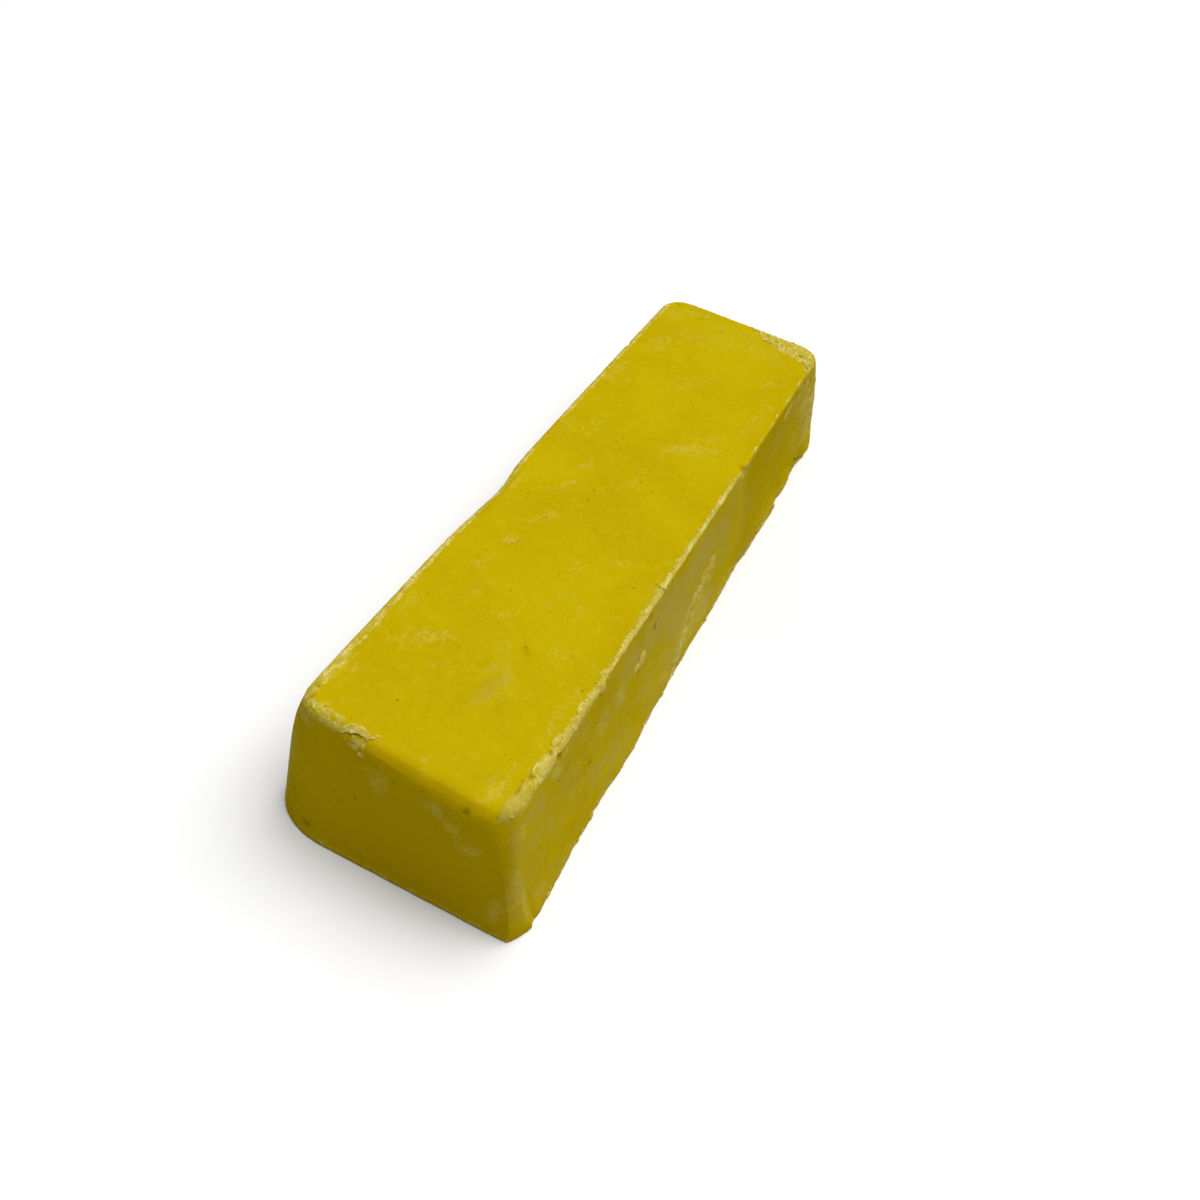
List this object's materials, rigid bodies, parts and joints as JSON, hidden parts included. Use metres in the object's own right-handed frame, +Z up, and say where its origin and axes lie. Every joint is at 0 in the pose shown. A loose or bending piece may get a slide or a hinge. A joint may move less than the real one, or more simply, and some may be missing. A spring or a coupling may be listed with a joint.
{
  "type": "clay bar",
  "caption": "Long rounded block of firm yellow wax-bound compound, cast in an open mould with drafted sides, with a worn crumbly rim and loose flakes clinging to it.",
  "frame": {"origin": "middle of the bottom of the bounding box, on the flat base the bar rests on", "axes": "+Z up out of the base, through the bar's height; +Y along the bar's length, from the end with the one large rounded bottom corner to the other end; +X across the bar, towards the side with the crumbling top edge"},
  "size_m": [0.0616, 0.2054, 0.0335],
  "materials": {
    "cast_compound": "satin, waxy",
    "dry_compound": "matte, dry and crumbly"
  },
  "bodies": {
    "root": {"cast_bar": "cast_compound", "front_edge_flake": "dry_compound", "front_edge_crumbs": "dry_compound", "front_corner_crust": "dry_compound", "right_edge_flakes": "dry_compound", "side_face_shaving": "dry_compound", "back_corner_crust": "dry_compound", "top_face_smear": "dry_compound", "base_rim_crumbs": "dry_compound"}
  },
  "joints": []
}
